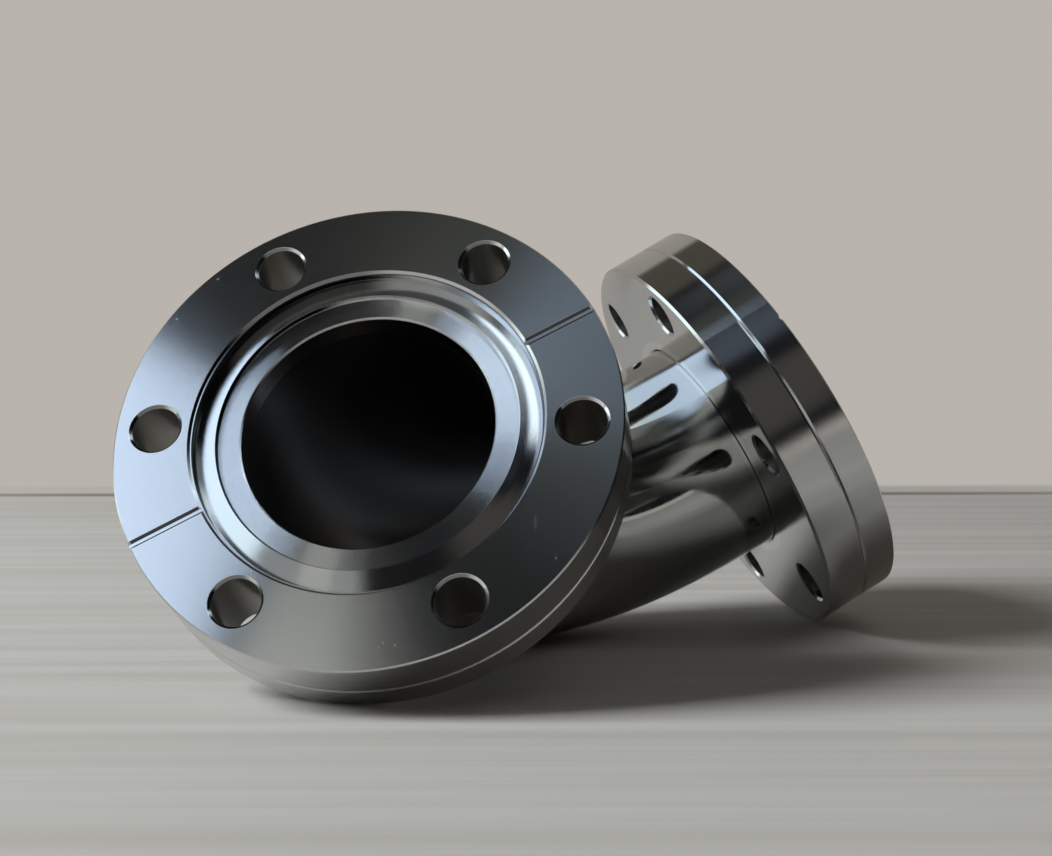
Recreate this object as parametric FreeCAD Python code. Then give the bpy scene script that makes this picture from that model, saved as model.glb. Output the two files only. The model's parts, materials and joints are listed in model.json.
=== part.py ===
import FreeCAD, Part
import math
import os

# A 90 degree vacuum elbow: one bent stainless tube with a fixed knife-edge flange
# welded on each end, lying on a table as it comes to rest.
# Lengths are millimetres and angles are degrees.
#
# Each flange is drawn on its own axis: its outer face is at z = 0, its body is below.
# The two legs meet at a corner point. The elbow is drawn with leg A along +X, leg B
# along +Y and that corner at the origin, and is then turned into its resting place.

# Tube, and the socket in each flange that it is let into
TUBE_OD = 38.0
TUBE_WALL = 1.5
BEND_R = 52.5
BEND_ANGLE = 90.0
TUBE_SHOWN_STRAIGHT = 0.3
SHOULDER_DEPTH = 5.0
SOCKET_CLEARANCE = 0.08
SOCKET_EDGE = 0.4

# Flange face, from the bore outwards: widths of the inner flat, of the gasket seat
# from the knife edge to the recess wall, of the metal inside and outside the bolt holes
INNER_FLAT_W = 3.45
SEAT_W = 3.2
LEDGE_W = 0.15
HOLE_TO_RECESS = 1.35
BOLT_HOLE = 6.7
HOLE_TO_RIM = 2.3
BOLT_COUNT = 6

# Flange thickness, and depths below its outer face
FLANGE_T = 12.7
LEDGE_DEPTH = 0.35
RECESS_DEPTH = 1.75
INNER_FLAT_DEPTH = 1.3

# Knife edge
RECESS_GUTTER = 0.3
KNIFE_FLANK = 20.0
KNIFE_BACK_W = 0.3

# Eased edges
FACE_EDGE = 0.2
BACK_EDGE = 0.4
BORE_EDGE = 0.25
BOLT_HOLE_EDGE = 0.4

# Leak-check grooves, from the recess to the rim, floor level with the ledge
LEAK_GROOVE_W = 1.2
LEAK_GROOVE_FLOOR = 0.4
LEAK_GROOVE_COUNT = 2

# Shallow V round the rim, where the two turning cuts meet
RIM_LINE_W = 0.7
RIM_LINE_DEPTH = 0.22

# What differs between the two flanges: how far each is turned from the bend plane,
# and how far its rim line is from its outer face
FLANGES = {
    "flange_a": {"turn": -4.0, "rim_line": 7.4},
    "flange_b": {"turn": 5.2, "rim_line": 5.7},
}

# Radii that follow: knife edge 20.95, recess 24.15, bolt circle 29.35, rim 35
TUBE_R = TUBE_OD / 2
BORE_R = TUBE_R - TUBE_WALL
SOCKET_R = TUBE_R + SOCKET_CLEARANCE
KNIFE_R = BORE_R + INNER_FLAT_W
RECESS_R = KNIFE_R + SEAT_W
MOUTH_R = RECESS_R + LEDGE_W + LEDGE_DEPTH
BOLT_CIRCLE_R = MOUTH_R + HOLE_TO_RECESS + BOLT_HOLE / 2
FLANGE_R = BOLT_CIRCLE_R + BOLT_HOLE / 2 + HOLE_TO_RIM
FACE_TO_CORNER = BEND_R + TUBE_SHOWN_STRAIGHT + FLANGE_T
TUBE_END = FACE_TO_CORNER - SHOULDER_DEPTH
OVER = 1.0

X = FreeCAD.Vector(1, 0, 0)
Y = FreeCAD.Vector(0, 1, 0)
Z = FreeCAD.Vector(0, 0, 1)
CORNER = FreeCAD.Vector(0, 0, 0)


def flange_outline(rim_line):
    """Half section of the flange as (radius, height) points, from the rim inwards."""
    flank_foot = RECESS_R - RECESS_GUTTER
    knife_rise = (flank_foot - KNIFE_R) * math.tan(math.radians(KNIFE_FLANK))
    half_line = RIM_LINE_W / 2
    return [
        (FLANGE_R, -FACE_EDGE),
        (FLANGE_R - FACE_EDGE, 0),
        (MOUTH_R, 0),
        (RECESS_R + LEDGE_W, -LEDGE_DEPTH),
        (RECESS_R, -LEDGE_DEPTH),
        (RECESS_R, -RECESS_DEPTH),
        (flank_foot, -RECESS_DEPTH),
        (KNIFE_R, -RECESS_DEPTH + knife_rise),
        (KNIFE_R - KNIFE_BACK_W, -INNER_FLAT_DEPTH),
        (BORE_R + BORE_EDGE, -INNER_FLAT_DEPTH),
        (BORE_R, -INNER_FLAT_DEPTH - BORE_EDGE),
        (BORE_R, -SHOULDER_DEPTH),
        (SOCKET_R, -SHOULDER_DEPTH),
        (SOCKET_R, -FLANGE_T + SOCKET_EDGE),
        (SOCKET_R + SOCKET_EDGE, -FLANGE_T),
        (FLANGE_R - BACK_EDGE, -FLANGE_T),
        (FLANGE_R, -FLANGE_T + BACK_EDGE),
        (FLANGE_R, -rim_line - half_line),
        (FLANGE_R - RIM_LINE_DEPTH, -rim_line),
        (FLANGE_R, -rim_line + half_line),
    ]


def turned(outline):
    """Solid of revolution of a closed (radius, height) outline about Z."""
    points = [FreeCAD.Vector(r, 0, z) for r, z in outline]
    face = Part.Face(Part.makePolygon(points + points[:1]))
    return face.revolve(CORNER, Z, 360)


def bolt_hole_cutter():
    """A through hole with both rims eased, as one turned cutter on Z."""
    r = BOLT_HOLE / 2
    wide = r + BOLT_HOLE_EDGE + OVER
    return turned([
        (0, OVER),
        (wide, OVER),
        (r, -BOLT_HOLE_EDGE),
        (r, -FLANGE_T + BOLT_HOLE_EDGE),
        (wide, -FLANGE_T - OVER),
        (0, -FLANGE_T - OVER),
    ])


def leak_groove_cutter():
    """A groove with sloping sides along +X, from inside the recess to past the rim."""
    start = RECESS_R - OVER
    slope = (LEAK_GROOVE_W - LEAK_GROOVE_FLOOR) / 2 / LEDGE_DEPTH
    top_half = LEAK_GROOVE_W / 2 + slope * OVER
    floor_half = LEAK_GROOVE_FLOOR / 2
    points = [
        FreeCAD.Vector(start, -floor_half, -LEDGE_DEPTH),
        FreeCAD.Vector(start, floor_half, -LEDGE_DEPTH),
        FreeCAD.Vector(start, top_half, OVER),
        FreeCAD.Vector(start, -top_half, OVER),
    ]
    face = Part.Face(Part.makePolygon(points + points[:1]))
    return face.extrude(X * (FLANGE_R + OVER - start))


def around(cutter, count, first):
    """Copies of a cutter spread evenly round Z, the first at the given angle."""
    copies = []
    for i in range(count):
        copy = cutter.copy()
        copy.rotate(CORNER, Z, first + i * 360 / count)
        copies.append(copy)
    return copies


def flange(turn, rim_line):
    """A fixed flange on Z, with its first leak groove turned by the given angle from X."""
    hole = bolt_hole_cutter()
    hole.translate(X * BOLT_CIRCLE_R)
    holes = around(hole, BOLT_COUNT, turn + 180 / BOLT_COUNT)
    grooves = around(leak_groove_cutter(), LEAK_GROOVE_COUNT, turn)
    return turned(flange_outline(rim_line)).cut(holes + grooves).Solids[0]


def leg_frame(along, across):
    """Placement of a flange's frame at the end of a leg: Z along it, X as given."""
    side = along.cross(across)
    matrix = FreeCAD.Matrix(
        across.x, side.x, along.x, along.x * FACE_TO_CORNER,
        across.y, side.y, along.y, along.y * FACE_TO_CORNER,
        across.z, side.z, along.z, along.z * FACE_TO_CORNER,
        0, 0, 0, 1)
    return FreeCAD.Placement(matrix)


def bent_rod(radius, end):
    """A solid rod along the tube's centre line, its ends at a distance from the corner."""
    start = X * BEND_R
    bend_centre = FreeCAD.Vector(BEND_R, BEND_R, 0)
    section = Part.Face(Part.Wire(Part.makeCircle(radius, start, X)))
    far_section = section.copy()
    far_section.rotate(bend_centre, -Z, BEND_ANGLE)
    bend = section.revolve(bend_centre, -Z, BEND_ANGLE)
    end_a = section.extrude(X * (end - BEND_R))
    end_b = far_section.extrude(Y * (end - BEND_R))
    return bend.fuse([end_a, end_b]).removeSplitter()


def elbow_tube():
    """The bent tube: a straight end in each flange's socket and one arc between."""
    outside = bent_rod(TUBE_R, TUBE_END)
    inside = bent_rod(BORE_R, TUBE_END)
    return outside.cut(inside).Solids[0]


def rim_reach(leg_part, from_corner):
    """How far a rim circle reaches along a direction, from the corner point.

    leg_part is the leg's share of that direction."""
    return from_corner * leg_part + FLANGE_R * math.sqrt(1 - leg_part ** 2)


def leg_rise():
    """Rise of both legs when the two back rims and the heel of the bend touch down.

    The rise is the leg direction's share of straight up, found by halving."""
    back_rim = FACE_TO_CORNER - FLANGE_T + BACK_EDGE
    heel_out = BEND_R * (math.sqrt(2) - 1)
    low, high = 0.0, math.sqrt(0.5)
    for _ in range(60):
        rise = (low + high) / 2
        rim_low = -rim_reach(-rise, back_rim)
        heel_low = heel_out * rise * math.sqrt(2) - TUBE_R
        if rim_low < heel_low:
            low = rise
        else:
            high = rise
    return rise


def resting_place():
    """Placement of the elbow as it lies: the legs open to -Y and rise to either side.

    The origin is on the table, under the middle of the box round the elbow."""
    rise = leg_rise()
    side = math.sqrt(0.5)
    forward = math.sqrt(1 - side ** 2 - rise ** 2)
    leg_a = FreeCAD.Vector(-side, -forward, rise)
    leg_b = FreeCAD.Vector(side, -forward, rise)
    normal = leg_a.cross(leg_b)
    front = rim_reach(forward, FACE_TO_CORNER - FACE_EDGE)
    back_rim = FACE_TO_CORNER - FLANGE_T + BACK_EDGE
    back = rim_reach(-forward, back_rim)
    table = rim_reach(-rise, back_rim)
    matrix = FreeCAD.Matrix(
        leg_a.x, leg_b.x, normal.x, 0,
        leg_a.y, leg_b.y, normal.y, (front - back) / 2,
        leg_a.z, leg_b.z, normal.z, table,
        0, 0, 0, 1)
    return FreeCAD.Placement(matrix)


def nodes():
    """Every piece in its resting place, by name."""
    place = resting_place()
    legs = {"flange_a": leg_frame(X, Y), "flange_b": leg_frame(Y, X)}
    pieces = {"elbow_tube": elbow_tube()}
    for name, leg in legs.items():
        pieces[name] = flange(**FLANGES[name])
        pieces[name].Placement = leg
    for piece in pieces.values():
        piece.Placement = place.multiply(piece.Placement)
    return pieces


def main():
    os.makedirs("parts", exist_ok=True)
    for name, shape in nodes().items():
        shape.exportStep("parts/" + name + ".step")
        box = shape.BoundBox
        print(name, shape.ShapeType, shape.isValid(), round(shape.Volume / 1000, 3), "cm3",
              "z from", round(box.ZMin, 3))


if __name__ == "__main__":
    main()
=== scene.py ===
import json
import math

import bpy
from mathutils import Matrix, Vector

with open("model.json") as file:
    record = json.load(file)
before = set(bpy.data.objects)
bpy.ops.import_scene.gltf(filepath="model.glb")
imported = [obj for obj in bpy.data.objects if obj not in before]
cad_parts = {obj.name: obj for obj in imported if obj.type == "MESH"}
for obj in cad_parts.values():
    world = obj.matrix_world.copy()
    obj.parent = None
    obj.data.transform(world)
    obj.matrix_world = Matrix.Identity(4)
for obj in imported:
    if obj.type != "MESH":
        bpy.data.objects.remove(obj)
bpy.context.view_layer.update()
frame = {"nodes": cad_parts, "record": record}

MM = 0.001
MOUNTS = {mount["name"]: mount for mount in frame["record"]["mounts"]}

BOLTS = MOUNTS["port_a_bolts"]["dims"]

# The flange in mm: radii from its axis, then depths from its outer face and small widths.
# The leak grooves run out level with the ledge in the mouth of the recess.
BORE_R = MOUNTS["port_a_bore"]["dims"]["r_mm"]
KNIFE_R = 20.95
RECESS_R = 24.15
MOUTH_R = 24.65
BOLT_CIRCLE_R = BOLTS["pcd_mm"] / 2
FLANGE_R = 35.0
LEDGE_DEPTH = 0.35
KNIFE_DEPTH = 0.7
INNER_FLAT_DEPTH = 1.3
SEALING_FACE_END = 2.5
WELD_DEPTH = 7.7
KNIFE_BACK_W = 0.3
BOLT_HOLE_R = BOLTS["hole_r_mm"]
BOLT_HOLE_EDGE = 0.4
BOLT_PITCH = 2 * math.pi / BOLTS["count"]

# The tube in mm: its centre line, and a radius inside its wall that parts outside from inside
CORNER_TO_FACE = 65.5
BEND_R = 52.5
TUBE_MIDDLE_R = 18.2

# How far each flange is turned from the bend plane
TURNS = {"port_a": math.radians(-4.0), "port_b": math.radians(5.2)}

# How far the lathe lines tip each kind of surface, as a slope
FACE_TIP = 0.30
INNER_FLAT_TIP = 1.65
SEAT_TIP = 0.225
RIM_TIP = 0.19
MOST_TIP = 0.35

# Wear: how far the knife edge's worn crest tips and where that fades, and where a bolt hole's edge turns
# from painted shade to a painted highlight, in mm
WORN_CREST_TIP = 0.11
WORN_CREST_FADE = (0.6, 1.7)
HOLE_EDGE_LIGHT_FADE = (0.5, 2.5)

# Roughness of each kind of surface, and how much more a turned one spreads light across its lines
TURNED = 0.12
DULL = 0.36
BORED_ROUGH = 0.17
WELD_ROUGH = 0.45
SCUFF_ROUGH = 0.9
TUBE_INSIDE_ROUGH = 0.28
TUBE_POLISH = (0.05, 0.09)
FLOOR_ROUGH = 0.6
ANISOTROPY = 0.6

# Noise in the tube's polish, its long ripple, and the floor's grain
POLISH_SCALE = 900.0
RIPPLE_SCALE = 60.0
RIPPLE_STRENGTH = 0.3
RIPPLE_HEIGHT = 0.05 * MM
FLOOR_GRAIN_SCALE = 3.0
FLOOR_GRAIN_STRETCH = 40.0

# Colours of the metal
STEEL = (0.625, 0.63, 0.635, 1)
CLEAN_STEEL = (0.72, 0.73, 0.745, 1)
TUBE_STEEL = (0.555, 0.57, 0.555, 1)
# Painted shade inside the tube
PAINTED_TUBE_SHADE = (0.15, 0.145, 0.145, 1)
# Painted shade in the flange's bore
PAINTED_BORE_SHADE = (0.30, 0.275, 0.275, 1)
WELD = (0.40, 0.39, 0.38, 1)
# Painted shade in the bolt holes
PAINTED_HOLE_SHADE = (0.26, 0.25, 0.23, 1)
# Painted shade in the leak grooves
PAINTED_GROOVE_SHADE = (0.10, 0.105, 0.12, 1)
# Painted shade, put on the upper left of the recess wall
SHADED = (0.10, 0.10, 0.10, 1)
# Painted shade on the upper left of the recess mouth and of each bolt hole's edge
PAINTED_EDGE_SHADE = (0.28, 0.28, 0.28, 1)
# Painted highlight on the knife back and on the lower right of each bolt hole's edge
PAINTED_HIGHLIGHT = (0.85, 0.85, 0.85, 1)
SCUFF = (0.75, 0.75, 0.74, 1)

# Colours of the stage
PALE = (0.485, 0.453, 0.415, 1)
# DARK is also painted on the left of the knife back as shade
DARK = (0.010, 0.010, 0.011, 1)
FAR_WALL = (0.37, 0.347, 0.31, 1)
TABLE_LOW = (0.42, 0.405, 0.375, 1)
TABLE_HIGH = (0.495, 0.485, 0.465, 1)
TABLE_SEAM = (0.16, 0.145, 0.12, 1)
SHADE_LIGHT = (0.042, 0.030, 0.020, 1)

# Camera: place in the row frame, direction, and lens on a 36 mm wide sensor
CAMERA_AT = Vector((-194.824, -175.458, 45.106)) * MM
CAMERA_AIM = Vector((0.72121, 0.69155, -0.04035))
CAMERA_ROLL = math.radians(-0.09)
FOCAL_PX = 1687.45
PHOTO_WIDTH_PX = 1052
SENSOR_MM = 36.0

# Wear on the near face in mm: place from its middle, half length, half width, lean in degrees, strength
FACE_MARKS = (
    (11.05, -31.21, 0.34, 0.16, 60, 0.22),
    (11.45, -30.80, 0.45, 0.20, 40, 0.10),
    (-13.05, -28.70, 0.28, 0.12, 70, 0.35),
    (-11.90, -29.79, 0.26, 0.14, 60, 0.22),
    (-13.75, -28.80, 0.30, 0.10, 10, 0.2),
    (-6.28, 33.27, 0.30, 0.14, -30, 0.5),
    (-14.16, 30.71, 0.30, 0.12, 0, 0.35),
    (-22.89, -10.54, 0.55, 0.10, 63, 0.8),
    (11.48, -25.50, 1.60, 0.30, 59, 0.12),
)

# The table top and the room that the metal mirrors, in metres and degrees
TABLE_SIZE = 8
GRAIN_AZIMUTH = 44
SEAM_AT = (0.300, 0.308)
FADE_BY_RADIUS = (0.30, 0.45)
FADE_BEHIND = (0.32, 0.35)
ROOM_R = 2.5
AZIMUTH_FROM = -20.0
AZIMUTH_TO = 340.0
FAR_WALL_PLACE = ((-20, 105), (-90, 46), 8)

# Patches of the room: azimuths and heights in degrees, width of the soft edge, colour
ROOM_PATCHES = (
    ((40, 110), (50, 70), 6, (0.085, 0.080, 0.062, 1)),
    ((-20, 340), (78, 90), 4, (0.075, 0.080, 0.085, 1)),
    ((184, 215), (56, 72), 4, (0.055, 0.057, 0.048, 1)),
    ((197.5, 206), (57.8, 64), 1.5, (0.30, 0.38, 0.48, 1)),
    ((214, 230), (48, 60), 4, (0.079, 0.097, 0.118, 1)),
    ((232, 250), (10, 34), 6, (0.070, 0.067, 0.060, 1)),
    ((165, 201), (5, 14), 6, (0.42, 0.43, 0.42, 1)),
    ((188.5, 195), (14, 49), 1.5, (0.62, 0.63, 0.58, 1)),
    ((115, 172), (12, 34), 3, (1.1, 1.35, 1.45, 1)),
    ((108, 148), (-6, 20), 5, (1.4, 1.6, 1.6, 1)),
    ((115, 184.5), (24, 52.8), 2, (1.15, 1.4, 1.75, 1)),
    ((258, 335), (50.5, 82), 6, (1.6, 1.9, 2.1, 1)),
)

# Lamps that light the table: azimuth and height, size in metres, power in watts, colour
LAMP_DISTANCE = 1.2
LAMP_AIM = Vector((0, 0, 0.04))
LAMPS = {
    "window_left": ((148, 36), (0.6, 0.5), 22, (0.95, 0.98, 1.0)),
    "window_right": ((270, 60), (0.7, 0.6), 0.5, (1.0, 0.84, 0.66)),
}


def direction(azimuth, height):
    a, h = math.radians(azimuth), math.radians(height)
    return Vector((math.cos(a) * math.cos(h), math.sin(a) * math.cos(h), math.sin(h)))


def add_camera():
    """The photo's view: low over the table, level, with a 58 mm lens."""
    data = bpy.data.cameras.new("camera")
    data.sensor_width = SENSOR_MM
    data.lens = FOCAL_PX / PHOTO_WIDTH_PX * SENSOR_MM
    data.clip_start = 0.01
    data.clip_end = 20
    camera = bpy.data.objects.new("camera", data)
    camera.rotation_mode = "QUATERNION"
    camera.rotation_quaternion = CAMERA_AIM.to_track_quat("-Z", "Y") @ Matrix.Rotation(
        CAMERA_ROLL, 3, "Z").to_quaternion()
    camera.location = CAMERA_AT
    bpy.context.scene.collection.objects.link(camera)
    bpy.context.scene.camera = camera


class Graph:
    """Short calls for making and wiring shader nodes."""

    def __init__(self, tree):
        self.tree = tree
        tree.nodes.clear()

    def node(self, kind, **settings):
        made = self.tree.nodes.new(kind)
        for name, value in settings.items():
            setattr(made, name, value)
        return made

    def feed(self, socket, value):
        if isinstance(value, bpy.types.NodeSocket):
            self.tree.links.new(value, socket)
        elif value is not None:
            socket.default_value = value

    def position(self):
        return self.node("ShaderNodeNewGeometry").outputs["Position"]

    def math(self, operation, a, b=None):
        made = self.node("ShaderNodeMath", operation=operation)
        self.feed(made.inputs[0], a)
        self.feed(made.inputs[1], b)
        return made.outputs[0]

    def wrap(self, value, high, low):
        made = self.node("ShaderNodeMath", operation="WRAP")
        for socket, part in zip(made.inputs, (value, high, low)):
            self.feed(socket, part)
        return made.outputs[0]

    def product(self, first, *others):
        for other in others:
            first = self.math("MULTIPLY", first, other)
        return first

    def outside(self, zone):
        return self.math("SUBTRACT", 1.0, zone)

    def vector(self, operation, a, b=None):
        made = self.node("ShaderNodeVectorMath", operation=operation)
        self.feed(made.inputs[0], a)
        self.feed(made.inputs[1], b)
        name = "Value" if operation in ("DOT_PRODUCT", "LENGTH") else "Vector"
        return made.outputs[name]

    def scaled(self, vector, amount):
        made = self.node("ShaderNodeVectorMath", operation="SCALE")
        self.feed(made.inputs[0], vector)
        self.feed(made.inputs["Scale"], amount)
        return made.outputs[0]

    def join(self, x, y, z):
        made = self.node("ShaderNodeCombineXYZ")
        for socket, value in zip(made.inputs, (x, y, z)):
            self.feed(socket, value)
        return made.outputs[0]

    def ramp(self, value, start, end, low=0.0, high=1.0):
        made = self.node("ShaderNodeMapRange")
        made.interpolation_type = "SMOOTHSTEP"
        for socket, part in zip(made.inputs, (value, start, end, low, high)):
            self.feed(socket, part)
        return made.outputs[0]

    def fall(self, value, start, end):
        return self.ramp(value, start, end, 1.0, 0.0)

    def band(self, value, low, high, soft):
        """1 between low and high, falling to 0 over soft on both sides."""
        rise = self.ramp(value, low - soft, low)
        return self.math("SUBTRACT", rise, self.ramp(value, high, high + soft))

    def mix(self, share, a, b):
        made = self.node("ShaderNodeMix", data_type="FLOAT")
        self.feed(made.inputs[0], share)
        self.feed(made.inputs[2], a)
        self.feed(made.inputs[3], b)
        return made.outputs[0]

    def mix_colour(self, share, a, b):
        made = self.node("ShaderNodeMix", data_type="RGBA")
        self.feed(made.inputs[0], share)
        self.feed(made.inputs[6], a)
        self.feed(made.inputs[7], b)
        return made.outputs[2]

    def mix_shader(self, share, a, b):
        made = self.node("ShaderNodeMixShader")
        self.feed(made.inputs[0], share)
        self.tree.links.new(a.outputs[0], made.inputs[1])
        self.tree.links.new(b.outputs[0], made.inputs[2])
        return made

    def noise(self, vector, scale, detail, roughness):
        made = self.node("ShaderNodeTexNoise")
        self.feed(made.inputs["Vector"], vector)
        self.feed(made.inputs["Scale"], scale)
        self.feed(made.inputs["Detail"], detail)
        self.feed(made.inputs["Roughness"], roughness)
        return made.outputs["Fac"]

    def chance(self, vector):
        """A chance value from 0 to 1 at each point, mostly near the middle."""
        made = self.node("ShaderNodeTexWhiteNoise")
        self.feed(made.inputs["Vector"], vector)
        parts = self.node("ShaderNodeSeparateColor")
        self.feed(parts.inputs[0], made.outputs["Color"])
        red, green, blue = parts.outputs
        total = self.math("ADD", self.math("ADD", red, green), blue)
        return self.math("DIVIDE", total, 3.0)

    def bump(self, height, strength, distance):
        made = self.node("ShaderNodeBump")
        self.feed(made.inputs["Strength"], strength)
        self.feed(made.inputs["Distance"], distance)
        self.feed(made.inputs["Height"], height)
        return made.outputs[0]

    def glow(self, colour):
        made = self.node("ShaderNodeEmission")
        self.feed(made.inputs["Color"], colour)
        self.feed(made.inputs["Strength"], 1.0)
        return made

    def seen_or_mirrored(self):
        """1 for rays from the camera, a mirror or glass, and 0 for rays that light a surface."""
        rays = self.node("ShaderNodeLightPath")
        seen = self.math("MAXIMUM", rays.outputs["Is Camera Ray"], rays.outputs["Is Glossy Ray"])
        return self.math("MAXIMUM", seen, rays.outputs["Is Transmission Ray"])


def new_material(name):
    material = bpy.data.materials.new(name)
    material.use_nodes = True
    return material, Graph(material.node_tree)


def metal(name):
    material, graph = new_material(name)
    shader = graph.node("ShaderNodeBsdfPrincipled")
    out = graph.node("ShaderNodeOutputMaterial")
    graph.tree.links.new(shader.outputs[0], out.inputs[0])
    shader.inputs["Metallic"].default_value = 1.0
    return material, graph, shader


def leg_axes():
    return [Vector(MOUNTS[port + "_bolts"]["axis"]).normalized() for port in ("port_a", "port_b")]


class FlangePlace:
    """Where a surface point lies on its flange, as sockets in mm and radians."""

    def __init__(self, graph, port):
        leg_a, leg_b = leg_axes()
        along, across = (leg_a, leg_b) if port == "port_a" else (leg_b, leg_a)
        side = along.cross(across)
        centre = tuple(MOUNTS[port + "_bolts"]["pos_m"])
        geometry = graph.node("ShaderNodeNewGeometry")
        self.position = geometry.outputs["Position"]
        self.normal = geometry.outputs["Normal"]

        away = graph.scaled(graph.vector("SUBTRACT", self.position, centre), 1 / MM)
        self.x = graph.vector("DOT_PRODUCT", away, tuple(across))
        self.y = graph.vector("DOT_PRODUCT", away, tuple(side))
        out = graph.vector("DOT_PRODUCT", away, tuple(along))
        self.depth = graph.math("MULTIPLY", out, -1.0)
        self.radius = graph.vector("LENGTH", graph.join(self.x, self.y, 0.0))
        self.angle = graph.math("SUBTRACT", graph.math("ARCTAN2", self.y, self.x), TURNS[port])
        self.degrees = graph.math("DEGREES", graph.wrap(self.angle, 2 * math.pi, 0.0))

        # The direction in the surface that crosses the lathe lines
        radial = graph.vector("SUBTRACT", away, graph.scaled(tuple(along), out))
        around = graph.vector("NORMALIZE", graph.vector("CROSS_PRODUCT", radial, tuple(along)))
        self.across_lines = graph.vector("NORMALIZE", graph.vector("CROSS_PRODUCT", around, self.normal))

        # The nearest bolt hole
        turn = graph.math("SUBTRACT", graph.wrap(self.angle, BOLT_PITCH, 0.0), BOLT_PITCH / 2)
        hole_angle = graph.math("ADD", graph.math("SUBTRACT", self.angle, turn), TURNS[port])
        hole_x = graph.math("MULTIPLY", graph.math("COSINE", hole_angle), BOLT_CIRCLE_R)
        hole_y = graph.math("MULTIPLY", graph.math("SINE", hole_angle), BOLT_CIRCLE_R)
        beside_x = graph.math("SUBTRACT", self.x, hole_x)
        beside_y = graph.math("SUBTRACT", self.y, hole_y)
        self.from_hole = graph.vector("LENGTH", graph.join(beside_x, beside_y, 0.0))
        self.low_right_of_hole = graph.math("SUBTRACT", beside_x, graph.math("MULTIPLY", beside_y, 0.6))

    def mark(self, graph, x, y, length, width, lean):
        """A soft-edged mark at a place on the face: 1 at its middle, 0 outside."""
        dx = graph.math("SUBTRACT", self.x, x)
        dy = graph.math("SUBTRACT", self.y, y)
        c, s = math.cos(math.radians(lean)), math.sin(math.radians(lean))
        along = graph.math("ADD", graph.product(dx, c / length), graph.product(dy, s / length))
        aside = graph.math("ADD", graph.product(dx, -s / width), graph.product(dy, c / width))
        return graph.fall(graph.vector("LENGTH", graph.join(along, aside, 0.0)), 0.4, 1.0)


class FlangeZones:
    """Each kind of surface on a flange: 1 on it, 0 off it."""

    def __init__(self, graph, place):
        radius, depth, degrees = place.radius, place.depth, place.degrees

        self.face = graph.fall(depth, 0.02, 0.05)
        sealing_face = graph.fall(depth, SEALING_FACE_END, SEALING_FACE_END + 0.5)
        in_mouth = graph.fall(radius, MOUTH_R - 0.05, MOUTH_R)
        self.seat = graph.product(sealing_face, in_mouth)
        self.inner_flat = graph.product(
            graph.fall(radius, KNIFE_R - 0.05, KNIFE_R),
            graph.ramp(depth, INNER_FLAT_DEPTH - 0.08, INNER_FLAT_DEPTH - 0.02))
        self.knife_back = graph.product(
            graph.band(radius, KNIFE_R - KNIFE_BACK_W, KNIFE_R - 0.02, 0.02),
            graph.band(depth, KNIFE_DEPTH + 0.05, INNER_FLAT_DEPTH - 0.05, 0.03))
        self.flank = graph.product(
            self.seat, graph.outside(self.inner_flat), graph.ramp(radius, KNIFE_R - 0.03, KNIFE_R))
        self.recess_wall = graph.product(
            graph.band(radius, RECESS_R - 0.1, MOUTH_R + 0.02, 0.02),
            graph.band(depth, LEDGE_DEPTH + 0.15, SEALING_FACE_END, 0.1))
        self.mouth = graph.product(
            graph.band(radius, MOUTH_R - LEDGE_DEPTH - 0.01, MOUTH_R - 0.02, 0.02),
            graph.band(depth, 0.03, LEDGE_DEPTH - 0.02, 0.01))

        self.bore = graph.product(
            graph.ramp(depth, INNER_FLAT_DEPTH + 0.15, INNER_FLAT_DEPTH + 0.3),
            graph.fall(radius, BORE_R + 0.4, BORE_R + 0.6))
        self.weld = graph.product(
            self.bore, graph.band(depth, WELD_DEPTH - 0.2, WELD_DEPTH + 0.2, 0.15))

        eased_r = BOLT_HOLE_R + BOLT_HOLE_EDGE
        hole_mouth = graph.fall(place.from_hole, eased_r + 0.05, eased_r + 0.1)
        self.hole = graph.fall(place.from_hole, BOLT_HOLE_R + 0.01, BOLT_HOLE_R + 0.05)
        self.hole_edge = graph.product(
            hole_mouth,
            graph.ramp(depth, 0.03, 0.06),
            graph.fall(depth, BOLT_HOLE_EDGE + 0.02, BOLT_HOLE_EDGE + 0.05))
        self.groove = graph.product(
            graph.band(depth, 0.03, LEDGE_DEPTH - 0.03, 0.01),
            graph.band(radius, MOUTH_R + 0.03, FLANGE_R - 0.4, 0.01),
            graph.outside(hole_mouth))

        # Sides of the flange, counted in degrees from its right side. The left ones set where shade and
        # highlights are painted; the right one sets where the knife edge is worn.
        self.right_side = graph.outside(graph.band(degrees, 65, 290, 20))
        self.upper_left_side = graph.band(degrees, 68, 165, 14)
        self.left_side = graph.band(degrees, 85, 250, 14)


def lathe_slope(graph, place, zones):
    """How far the lathe lines, too fine to see one by one, tip the surface across them."""
    tip = graph.mix(zones.face, RIM_TIP, FACE_TIP)
    tip = graph.mix(zones.seat, tip, graph.mix(zones.inner_flat, SEAT_TIP, INNER_FLAT_TIP))
    tip = graph.mix(zones.bore, tip, RIM_TIP)
    slope = graph.product(graph.math("SUBTRACT", graph.chance(place.position), 0.5), tip)
    slope = graph.math("MAXIMUM", graph.math("MINIMUM", slope, MOST_TIP), -MOST_TIP)

    # On the right the knife edge is worn, which flattens its flank towards the tip
    near_tip = graph.fall(place.radius, *(KNIFE_R + out for out in WORN_CREST_FADE))
    return graph.math("ADD", slope, graph.product(zones.flank, zones.right_side, near_tip, WORN_CREST_TIP))


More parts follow.
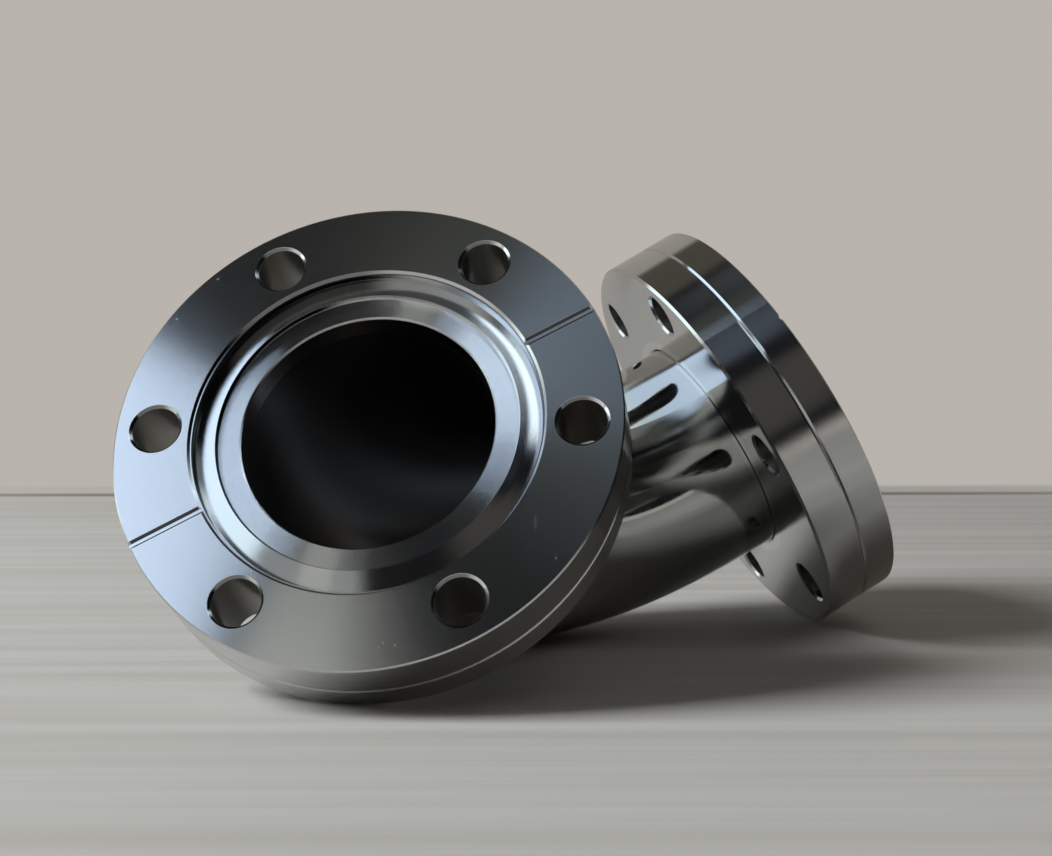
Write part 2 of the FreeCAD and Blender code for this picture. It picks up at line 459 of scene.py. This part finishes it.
def flange_colour(graph, place, zones):
    colour = graph.mix_colour(zones.inner_flat, STEEL, CLEAN_STEEL)
    # Painted shade on the upper left of the recess wall
    colour = graph.mix_colour(graph.product(zones.recess_wall, zones.upper_left_side), colour, SHADED)
    # Painted shade on the upper left of the recess mouth
    colour = graph.mix_colour(graph.product(zones.mouth, zones.upper_left_side), colour, PAINTED_EDGE_SHADE)
    # Knife back: painted shade on its left side, a painted highlight on the rest
    knife_back = graph.mix_colour(zones.left_side, PAINTED_HIGHLIGHT, DARK)
    colour = graph.mix_colour(zones.knife_back, colour, knife_back)
    # Bolt hole edges: painted shade on the upper left, fading to a painted highlight on the lower right
    hole_edge_lit = graph.ramp(place.low_right_of_hole, *HOLE_EDGE_LIGHT_FADE)
    colour = graph.mix_colour(zones.hole_edge, colour, graph.mix_colour(hole_edge_lit, PAINTED_EDGE_SHADE, PAINTED_HIGHLIGHT))
    # Bore painted dark as shade
    colour = graph.mix_colour(zones.bore, colour, PAINTED_BORE_SHADE)
    # Bolt hole walls painted dark as shade
    colour = graph.mix_colour(zones.hole, colour, PAINTED_HOLE_SHADE)
    # Leak grooves painted dark as shade
    colour = graph.mix_colour(zones.groove, colour, PAINTED_GROOVE_SHADE)
    return graph.mix_colour(zones.weld, colour, WELD)


def flange_roughness(graph, zones):
    dull = graph.math("MAXIMUM", zones.hole, zones.groove)
    bore = graph.mix(zones.weld, BORED_ROUGH, WELD_ROUGH)
    return graph.mix(zones.bore, graph.mix(dull, TURNED, DULL), bore)


def turned_steel(name, port):
    """Bare stainless flange: fine lathe lines, duller drilled and milled cuts, wear on the near face; the
    bore, holes and grooves are painted dark as shade, and edges on the sealing face and the bolt holes get
    painted shade and painted highlights.
    """
    material, graph, shader = metal(name)
    place = FlangePlace(graph, port)
    zones = FlangeZones(graph, place)
    colour = flange_colour(graph, place, zones)
    roughness = flange_roughness(graph, zones)
    if port == "port_a":
        for x, y, length, width, lean, strength in FACE_MARKS:
            worn = graph.product(place.mark(graph, x, y, length, width, lean), zones.face, strength)
            roughness = graph.mix(worn, roughness, SCUFF_ROUGH)
            colour = graph.mix_colour(worn, colour, SCUFF)
    slope = graph.scaled(place.across_lines, lathe_slope(graph, place, zones))
    graph.feed(shader.inputs["Roughness"], roughness)
    graph.feed(shader.inputs["Base Color"], colour)
    graph.feed(shader.inputs["Anisotropic"], ANISOTROPY)
    graph.feed(shader.inputs["Tangent"], place.across_lines)
    graph.feed(shader.inputs["Normal"], graph.vector("NORMALIZE", graph.vector("ADD", place.normal, slope)))
    return material


def from_centre_line(graph):
    """Distance in mm from the tube's bent centre line."""
    legs = leg_axes()
    corner = Vector(MOUNTS["port_a_bolts"]["pos_m"]) - legs[0] * CORNER_TO_FACE * MM
    away = graph.scaled(graph.vector("SUBTRACT", graph.position(), tuple(corner)), 1 / MM)
    short = []
    for leg in legs:
        along = graph.vector("DOT_PRODUCT", away, tuple(leg))
        short.append(graph.math("SUBTRACT", graph.math("MINIMUM", along, BEND_R), BEND_R))
    off_plane = graph.vector("DOT_PRODUCT", away, tuple(legs[0].cross(legs[1])))
    in_plane = graph.math("SUBTRACT", graph.vector("LENGTH", graph.join(*short, 0.0)), BEND_R)
    return graph.vector("LENGTH", graph.join(in_plane, off_plane, 0.0))


def polished_tube(name):
    """The bent tube: mirror polish outside with a faint long ripple, dull inside, with painted shade
    inside.
    """
    material, graph, shader = metal(name)
    place = graph.position()
    ripple = graph.noise(place, RIPPLE_SCALE, 2.0, 0.5)
    grain = graph.noise(place, POLISH_SCALE, 4.0, 0.6)
    outside = graph.ramp(from_centre_line(graph), TUBE_MIDDLE_R - 0.1, TUBE_MIDDLE_R + 0.1)
    polish = graph.ramp(grain, 0.3, 0.7, *TUBE_POLISH)
    graph.feed(shader.inputs["Base Color"], graph.mix_colour(outside, PAINTED_TUBE_SHADE, TUBE_STEEL))
    graph.feed(shader.inputs["Roughness"], graph.mix(outside, TUBE_INSIDE_ROUGH, polish))
    graph.feed(shader.inputs["Normal"], graph.bump(ripple, RIPPLE_STRENGTH, RIPPLE_HEIGHT))
    return material


def add_materials():
    finishes = {
        "flange_a": turned_steel("flange_a_steel", "port_a"),
        "flange_b": turned_steel("flange_b_steel", "port_b"),
        "elbow_tube": polished_tube("tube_steel"),
    }
    for name, finish in finishes.items():
        node = frame["nodes"][name]
        for index in range(len(node.data.materials)):
            node.data.materials[index] = finish
        if not node.data.materials:
            node.data.materials.append(finish)


def add_floor():
    """A pale table top with a seam behind; far away it fades into the pale backdrop."""
    bpy.ops.mesh.primitive_plane_add(size=TABLE_SIZE, location=(0, 0, 0))
    floor = bpy.context.object
    floor.name = "floor"
    material, graph = new_material("floor_paint")
    place = graph.position()
    behind = graph.vector("DOT_PRODUCT", place, tuple(direction(GRAIN_AZIMUTH, 0)))
    aside = graph.vector("DOT_PRODUCT", place, tuple(direction(GRAIN_AZIMUTH + 90, 0)))
    stretched = graph.join(aside, graph.math("MULTIPLY", behind, FLOOR_GRAIN_STRETCH), 0.0)
    grain = graph.noise(stretched, FLOOR_GRAIN_SCALE, 4.0, 0.6)
    colour = graph.mix_colour(graph.ramp(grain, 0.3, 0.7), TABLE_LOW, TABLE_HIGH)
    colour = graph.mix_colour(graph.band(behind, *SEAM_AT, 0.004), colour, TABLE_SEAM)
    paint = graph.node("ShaderNodeBsdfPrincipled")
    graph.feed(paint.inputs["Roughness"], FLOOR_ROUGH)
    graph.feed(paint.inputs["Base Color"], colour)
    far = graph.math("MAXIMUM", graph.ramp(graph.vector("LENGTH", place), *FADE_BY_RADIUS),
                     graph.ramp(behind, *FADE_BEHIND))
    blend = graph.mix_shader(graph.math("MULTIPLY", far, graph.seen_or_mirrored()), paint, graph.glow(PALE))
    out = graph.node("ShaderNodeOutputMaterial")
    graph.tree.links.new(blend.outputs[0], out.inputs[0])
    floor.data.materials.append(material)


def add_room():
    """What the metal mirrors: a dark room, a pale wall behind, and soft windows and walls."""
    bpy.ops.mesh.primitive_uv_sphere_add(segments=64, ring_count=32, radius=ROOM_R, location=(0, 0, 0))
    room = bpy.context.object
    room.name = "room"
    for ray in ("camera", "diffuse", "transmission", "volume_scatter", "shadow"):
        setattr(room, "visible_" + ray, False)
    material, graph = new_material("room_light")
    parts = graph.node("ShaderNodeSeparateXYZ")
    graph.feed(parts.inputs[0], graph.vector("NORMALIZE", graph.position()))
    east, north, up = parts.outputs
    height = graph.math("DEGREES", graph.math("ARCSINE", up))
    azimuth = graph.math("DEGREES", graph.math("ARCTAN2", north, east))
    azimuth = graph.wrap(azimuth, AZIMUTH_TO, AZIMUTH_FROM)

    def patch(azimuths, heights, soft):
        return graph.product(graph.band(azimuth, *azimuths, soft), graph.band(height, *heights, soft))

    colour = graph.mix_colour(patch(*FAR_WALL_PLACE), DARK, FAR_WALL)
    for azimuths, heights, soft, shade in ROOM_PATCHES:
        colour = graph.mix_colour(patch(azimuths, heights, soft), colour, shade)
    out = graph.node("ShaderNodeOutputMaterial")
    graph.tree.links.new(graph.glow(colour).outputs[0], out.inputs[0])
    room.data.materials.append(material)


def add_lamps():
    """Area lamps that light the table only: what the metal mirrors is the room."""
    for name, (aim_back, size, power, colour) in LAMPS.items():
        data = bpy.data.lights.new(name, "AREA")
        data.shape = "RECTANGLE"
        data.size, data.size_y = size
        data.energy = power
        data.color = colour
        lamp = bpy.data.objects.new(name, data)
        lamp.location = LAMP_DISTANCE * direction(*aim_back)
        lamp.rotation_mode = "QUATERNION"
        lamp.rotation_quaternion = (LAMP_AIM - lamp.location).to_track_quat("-Z", "Y")
        lamp.visible_glossy = False
        bpy.context.scene.collection.objects.link(lamp)


def add_world():
    """A pale backdrop where it is seen or mirrored, and a dim warm light in the shadows."""
    world = bpy.data.worlds.new("world")
    bpy.context.scene.world = world
    world.use_nodes = True
    graph = Graph(world.node_tree)
    background = graph.node("ShaderNodeBackground")
    out = graph.node("ShaderNodeOutputWorld")
    graph.tree.links.new(background.outputs[0], out.inputs[0])
    graph.feed(background.inputs["Color"], graph.mix_colour(graph.seen_or_mirrored(), SHADE_LIGHT, PALE))
    graph.feed(background.inputs["Strength"], 1.0)


add_camera()
add_materials()
add_floor()
add_world()
add_room()
add_lamps()
bpy.context.scene.view_settings.view_transform = "Standard"
